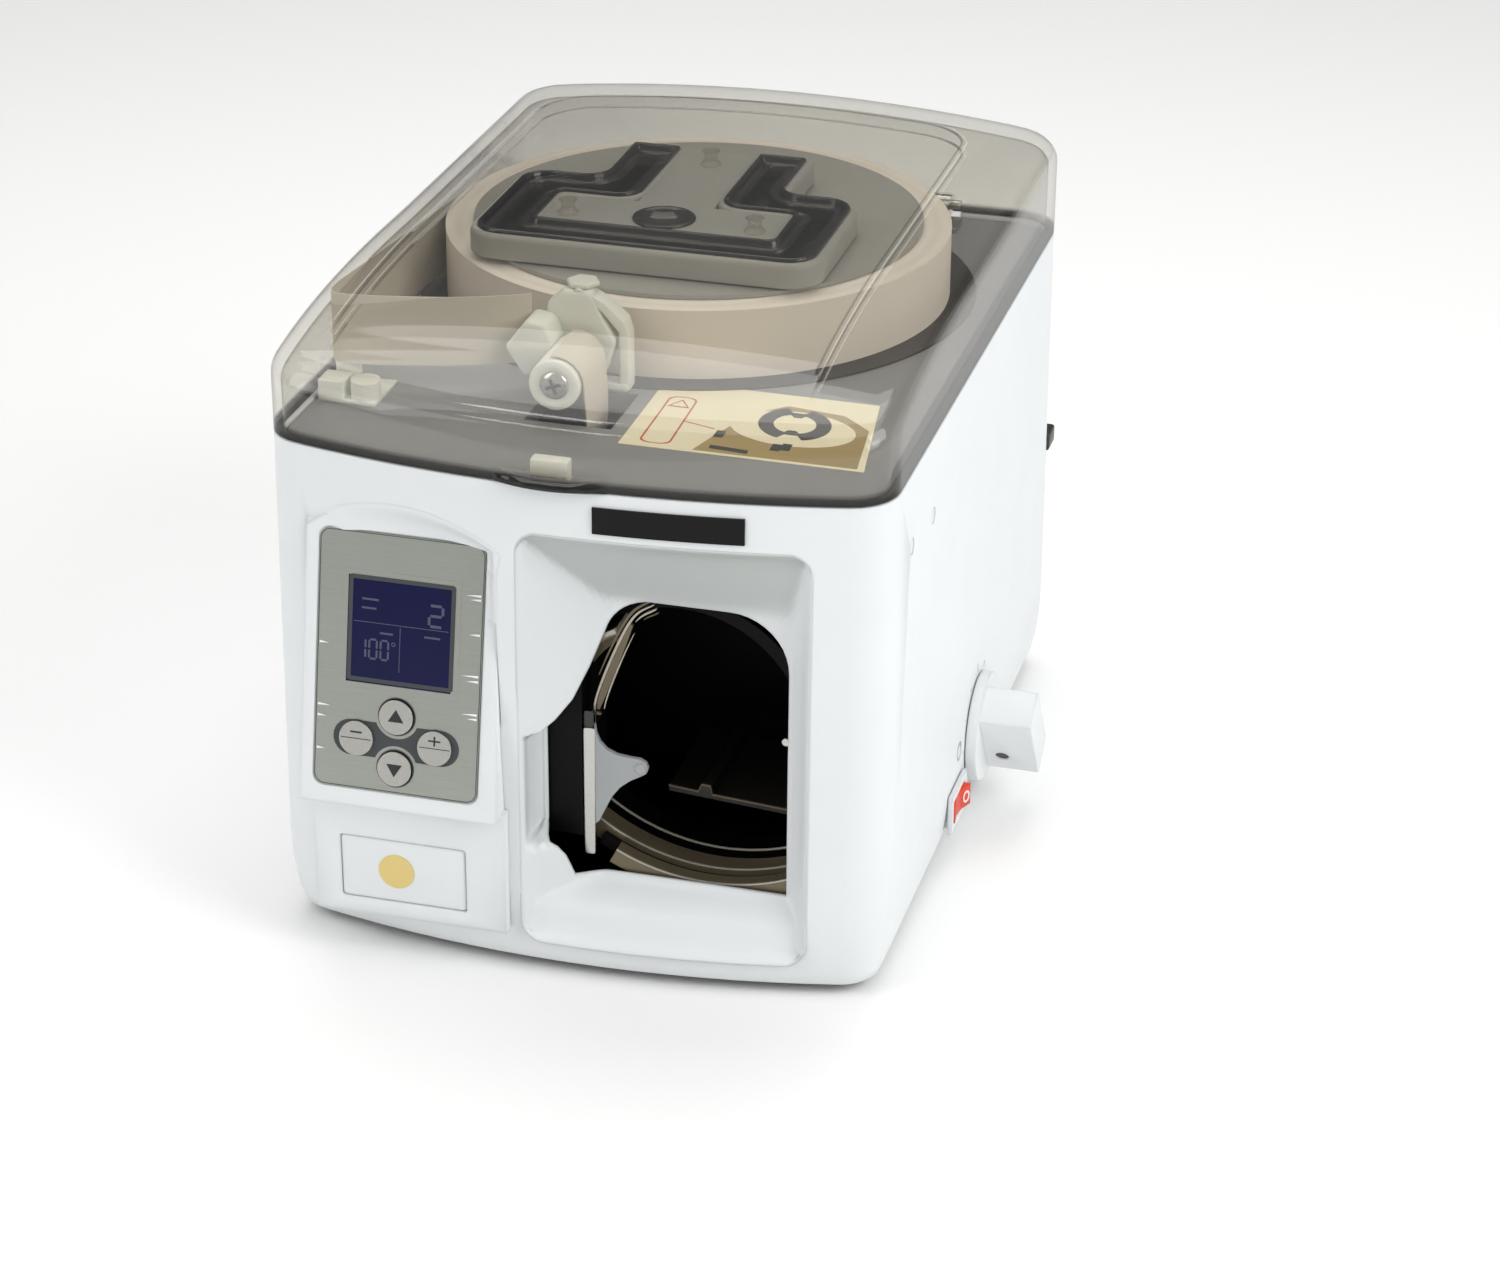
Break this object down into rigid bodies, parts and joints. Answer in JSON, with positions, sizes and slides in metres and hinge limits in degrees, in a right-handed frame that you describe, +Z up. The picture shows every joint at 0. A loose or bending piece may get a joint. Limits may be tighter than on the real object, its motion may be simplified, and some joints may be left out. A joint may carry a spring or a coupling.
{
  "type": "banknote strapping machine",
  "caption": "Counter-top machine that wraps a paper band round a bundle of banknotes, with a tape reel under a smoky hinged lid, a front window and a control panel.",
  "frame": {"origin": "centre of the bounding box at table level", "axes": "+Z up, front faces -Y, right-hand side +X"},
  "size_m": [0.1882, 0.242, 0.178],
  "materials": {
    "shell": "satin",
    "grey_plastic": "satin",
    "dark_plastic": "matte",
    "rubber_black": "matte",
    "smoky": "clear",
    "black_gloss": "gloss",
    "nylon": "translucent",
    "paper": "matte paper",
    "card": "matte cardboard",
    "steel": "brushed",
    "plated": "plated",
    "overlay": "brushed",
    "lcd": "gloss",
    "key_metal": "satin",
    "board": "matte",
    "gold": "satin",
    "motor": "satin",
    "rocker_red": "gloss",
    "brass_dark": "satin"
  },
  "bodies": {
    "body": {"housing": "shell", "base_plate": "motor", "rear_cover": "shell", "feet": "rubber_black", "base_screws": "plated", "deck": "grey_plastic", "hinge_brackets": "steel", "spindle": "steel", "guide_post_base": "nylon", "guide_bracket": "nylon", "guide_block": "nylon", "roller_screw": "plated", "threaded_tape": "paper", "panel_bezel": "shell", "control_overlay": "overlay", "display": "lcd", "control_board": "board", "hatch_cover": "shell", "hatch_disc": "gold", "label_plate": "black_gloss", "window_frame": "shell", "loop_track": "brass_dark", "bundle_chamber": "dark_plastic", "seal_head": "dark_plastic", "stop_plate": "steel", "tape_finger": "key_metal", "chassis": "steel", "feed_bracket": "steel", "feed_motor": "motor", "cam_motor": "motor", "rocker_body": "dark_plastic", "power_inlet": "dark_plastic", "side_screws": "key_metal"},
    "lid": {"lid": "smoky", "lid_catch": "nylon", "hinge_pins": "plated", "roll_holder": "grey_plastic", "holder_channel": "black_gloss", "holder_dome": "black_gloss"},
    "reel": {"turntable": "grey_plastic", "tape_core": "card", "tape_roll": "paper", "reel_flange": "grey_plastic"},
    "post": {"guide_post": "nylon"},
    "roller": {"guide_roller": "nylon"},
    "key_top": {"key_top": "key_metal"},
    "key_bottom": {"key_bottom": "key_metal"},
    "key_left": {"key_left": "key_metal"},
    "key_right": {"key_right": "key_metal"},
    "drive": {"drive_roller": "rubber_black"},
    "pinch": {"pinch_roller": "rubber_black"},
    "cam": {"cam_shaft": "steel"},
    "clamp": {"clamp_bar": "steel"},
    "heater": {"heater_bar": "steel"},
    "knob": {"adjust_knob": "key_metal", "knob_screw": "plated", "knob_shaft": "steel"},
    "rocker": {"power_rocker": "rocker_red"}
  },
  "joints": [
    {"name": "lid_hinge", "type": "hinge", "parent": "body", "child": "lid", "pos_m": [-0.00915, 0.11802, 0.1459], "axis": [-1, 0, 0], "range_deg": [0, 95]},
    {"name": "reel_spin", "type": "hinge", "parent": "body", "child": "reel", "pos_m": [-0.01515, 0.03832, 0.15], "axis": [0, 0, 1], "continuous": true},
    {"name": "post_spin", "type": "hinge", "parent": "body", "child": "post", "pos_m": [-0.08465, -0.05968, 0.155], "axis": [0, 0, 1], "continuous": true},
    {"name": "guide_roller_spin", "type": "hinge", "parent": "body", "child": "roller", "pos_m": [-0.02415, -0.05668, 0.153], "axis": [0, 1, 0], "continuous": true},
    {"name": "drive_spin", "type": "hinge", "parent": "body", "child": "drive", "pos_m": [-0.01015, -0.05668, 0.123], "axis": [0, 1, 0], "continuous": true},
    {"name": "pinch_spin", "type": "hinge", "parent": "body", "child": "pinch", "pos_m": [-0.02315, -0.05668, 0.123], "axis": [0, 1, 0], "continuous": true},
    {"name": "cam_turn", "type": "hinge", "parent": "body", "child": "cam", "pos_m": [-0.06115, -0.06168, 0.06825], "axis": [0, 1, 0], "range_deg": [0, 150]},
    {"name": "clamp_slide", "type": "slide", "parent": "body", "child": "clamp", "axis": [1, 0, 0], "range_m": [0, 0.005]},
    {"name": "heater_slide", "type": "slide", "parent": "body", "child": "heater", "axis": [1, 0, 0], "range_m": [0, 0.005]},
    {"name": "knob_turn", "type": "hinge", "parent": "body", "child": "knob", "pos_m": [0.07585, 0.01232, 0.027], "axis": [1, 0, 0], "range_deg": [-135, 135]},
    {"name": "rocker_tilt", "type": "hinge", "parent": "body", "child": "rocker", "pos_m": [0.07385, -0.01468, 0.016], "axis": [0, 0, 1], "range_deg": [0, 14]},
    {"name": "press_top", "type": "slide", "parent": "body", "child": "key_top", "axis": [0, 0.9816, -0.1908], "range_m": [0, 0.0008], "stiffness_N_per_m": 400},
    {"name": "press_bottom", "type": "slide", "parent": "body", "child": "key_bottom", "axis": [0, 0.9816, -0.1908], "range_m": [0, 0.0008], "stiffness_N_per_m": 400},
    {"name": "press_left", "type": "slide", "parent": "body", "child": "key_left", "axis": [0, 0.9816, -0.1908], "range_m": [0, 0.0008], "stiffness_N_per_m": 400},
    {"name": "press_right", "type": "slide", "parent": "body", "child": "key_right", "axis": [0, 0.9816, -0.1908], "range_m": [0, 0.0008], "stiffness_N_per_m": 400}
  ],
  "couplings": [
    {"joint": "pinch_spin", "follows": "drive_spin", "ratio": -1},
    {"joint": "clamp_slide", "follows": "cam_turn", "m_per_rad": 0.0019099},
    {"joint": "heater_slide", "follows": "cam_turn", "m_per_rad": 0.0019099}
  ]
}
